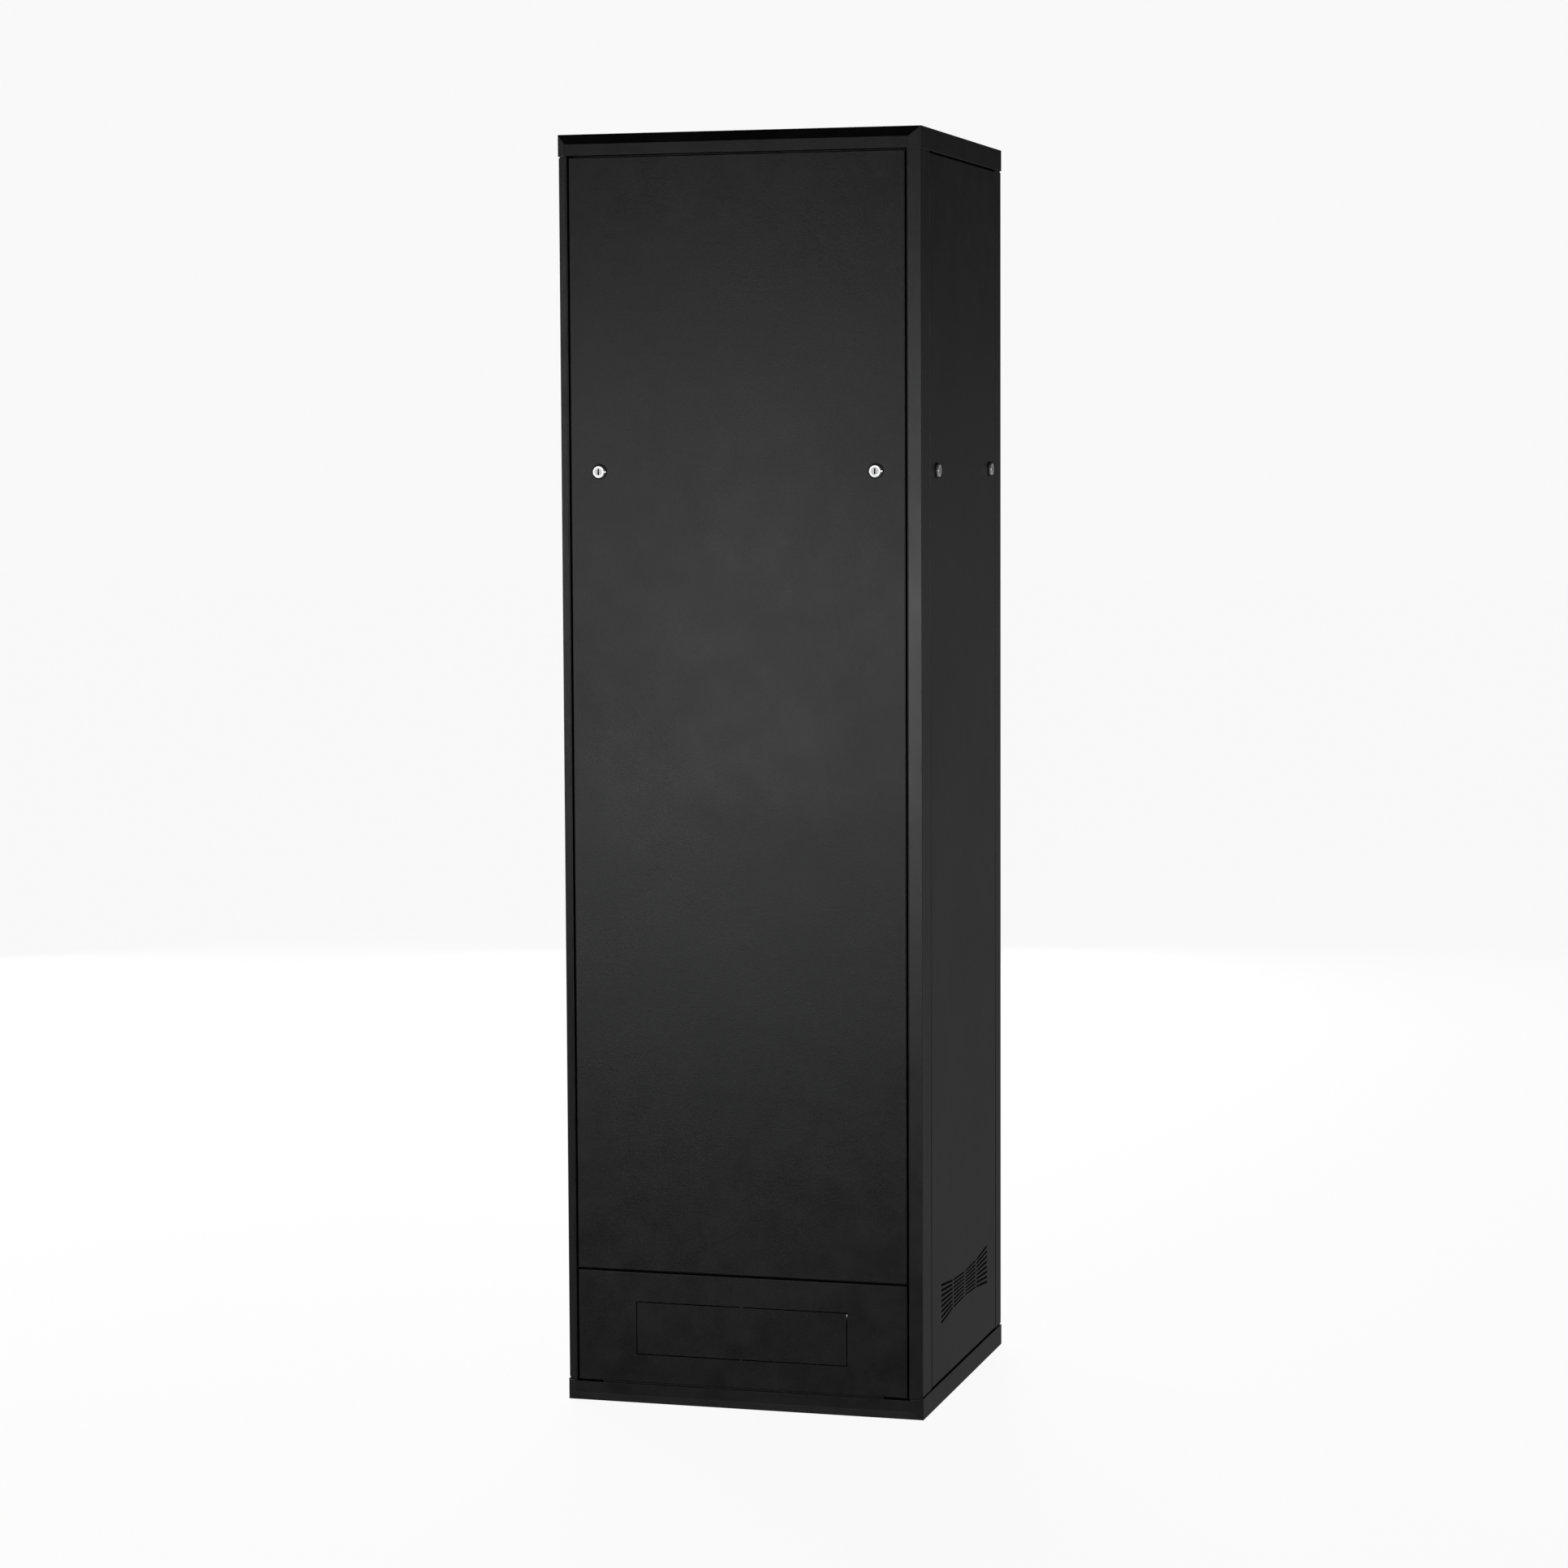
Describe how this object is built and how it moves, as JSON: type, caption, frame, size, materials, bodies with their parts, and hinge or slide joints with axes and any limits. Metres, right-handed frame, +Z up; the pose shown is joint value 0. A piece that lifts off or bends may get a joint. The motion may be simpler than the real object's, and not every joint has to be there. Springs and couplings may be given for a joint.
{
  "type": "network rack cabinet",
  "caption": "Tall free-standing 19 inch network rack cabinet in black sheet steel, with a glazed front door, removable side and rear panels on quarter-turn locks, and square-hole rails.",
  "frame": {"origin": "centre of the four foot holes, at floor level under the middle of the cabinet", "axes": "+Z up, +X to the right when facing the front door, +Y towards the removable rear panel"},
  "size_m": [0.6092, 0.6186, 2.06],
  "materials": {
    "powder_black": "fine textured satin powder coat",
    "rail_black": "smooth satin powder coat",
    "lock_chrome": "bright plated",
    "zinc_steel": "zinc plated",
    "door_glass": "grey tinted toughened glass",
    "seal_rubber": "matte",
    "handle_plastic": "fine grained",
    "filter_mat": "open black fibre mat",
    "stud_brass": "bright"
  },
  "bodies": {
    "frame": {"base_front": "powder_black", "base_left": "powder_black", "base_rear": "powder_black", "base_right": "powder_black", "cross_bars": "powder_black", "depth_rails": "rail_black", "door_keeper": "zinc_steel", "earth_stud": "stud_brass", "floor_gland_plate": "powder_black", "floor_plate": "powder_black", "hinge_pin_lower": "zinc_steel", "hinge_pin_upper": "zinc_steel", "lower_rear_panel": "powder_black", "panel_ledges": "powder_black", "plate_screws": "zinc_steel", "post_front_left": "powder_black", "post_front_right": "powder_black", "post_rear_left": "powder_black", "post_rear_right": "powder_black", "rack_rail_front_left": "rail_black", "rack_rail_front_right": "rail_black", "rack_rail_rear_left": "rail_black", "rack_rail_rear_right": "rail_black", "rail_bolts": "zinc_steel", "rear_keepers": "zinc_steel", "roof_cap": "powder_black", "roof_gland_plate": "powder_black", "side_keepers": "zinc_steel"},
    "side_left": {"side_panel_left": "powder_black", "louvre_filter_left": "filter_mat", "side_stiffener_left": "powder_black", "lock_housings_left": "lock_chrome"},
    "side_right": {"side_panel_right": "powder_black", "louvre_filter_right": "filter_mat", "side_stiffener_right": "powder_black", "lock_housings_right": "lock_chrome"},
    "rear_cover": {"rear_panel": "powder_black", "rear_stiffener": "powder_black", "lock_housings_rear": "lock_chrome"},
    "door": {"door_frame": "powder_black", "door_glass": "door_glass", "door_gasket": "seal_rubber", "glass_retainer": "powder_black", "hinge_blocks": "zinc_steel", "door_escutcheon": "handle_plastic"},
    "door_handle": {"door_lever": "handle_plastic", "door_latch_cam": "zinc_steel"},
    "door_key": {"door_key_barrel": "lock_chrome"},
    "lock_left_front": {"lock_plug_left_front": "lock_chrome", "lock_cam_left_front": "zinc_steel"},
    "lock_left_rear": {"lock_plug_left_rear": "lock_chrome", "lock_cam_left_rear": "zinc_steel"},
    "lock_right_front": {"lock_plug_right_front": "lock_chrome", "lock_cam_right_front": "zinc_steel"},
    "lock_right_rear": {"lock_plug_right_rear": "lock_chrome", "lock_cam_right_rear": "zinc_steel"},
    "lock_rear_left": {"lock_plug_rear_left": "lock_chrome", "lock_cam_rear_left": "zinc_steel"},
    "lock_rear_right": {"lock_plug_rear_right": "lock_chrome", "lock_cam_rear_right": "zinc_steel"}
  },
  "joints": [
    {"name": "side_panel_left_off", "type": "slide", "parent": "frame", "child": "side_left", "axis": [-1, 0, 0], "range_m": [0, 0.2]},
    {"name": "side_panel_right_off", "type": "slide", "parent": "frame", "child": "side_right", "axis": [1, 0, 0], "range_m": [0, 0.2]},
    {"name": "rear_panel_off", "type": "slide", "parent": "frame", "child": "rear_cover", "axis": [0, 1, 0], "range_m": [0, 0.2]},
    {"name": "door_hinge", "type": "hinge", "parent": "frame", "child": "door", "pos_m": [-0.2715, -0.2935, 1.03], "axis": [0, 0, -1], "range_deg": [0, 105]},
    {"name": "door_handle_turn", "type": "hinge", "parent": "door", "child": "door_handle", "pos_m": [0.246, -0.299, 1.13], "axis": [0, 1, 0], "range_deg": [0, 90]},
    {"name": "door_key_turn", "type": "hinge", "parent": "door", "child": "door_key", "pos_m": [0.246, -0.299, 1.158], "axis": [0, 1, 0], "range_deg": [0, 90]},
    {"name": "lock_left_front_turn", "type": "hinge", "parent": "side_left", "child": "lock_left_front", "pos_m": [-0.299, -0.203, 1.521], "axis": [-1, 0, 0], "range_deg": [0, 90]},
    {"name": "lock_left_rear_turn", "type": "hinge", "parent": "side_left", "child": "lock_left_rear", "pos_m": [-0.299, 0.177, 1.521], "axis": [1, 0, 0], "range_deg": [0, 90]},
    {"name": "lock_right_front_turn", "type": "hinge", "parent": "side_right", "child": "lock_right_front", "pos_m": [0.299, -0.203, 1.521], "axis": [-1, 0, 0], "range_deg": [0, 90]},
    {"name": "lock_right_rear_turn", "type": "hinge", "parent": "side_right", "child": "lock_right_rear", "pos_m": [0.299, 0.177, 1.521], "axis": [1, 0, 0], "range_deg": [0, 90]},
    {"name": "lock_rear_left_turn", "type": "hinge", "parent": "rear_cover", "child": "lock_rear_left", "pos_m": [-0.229, 0.299, 1.521], "axis": [0, 1, 0], "range_deg": [0, 90]},
    {"name": "lock_rear_right_turn", "type": "hinge", "parent": "rear_cover", "child": "lock_rear_right", "pos_m": [0.229, 0.299, 1.521], "axis": [0, -1, 0], "range_deg": [0, 90]}
  ]
}
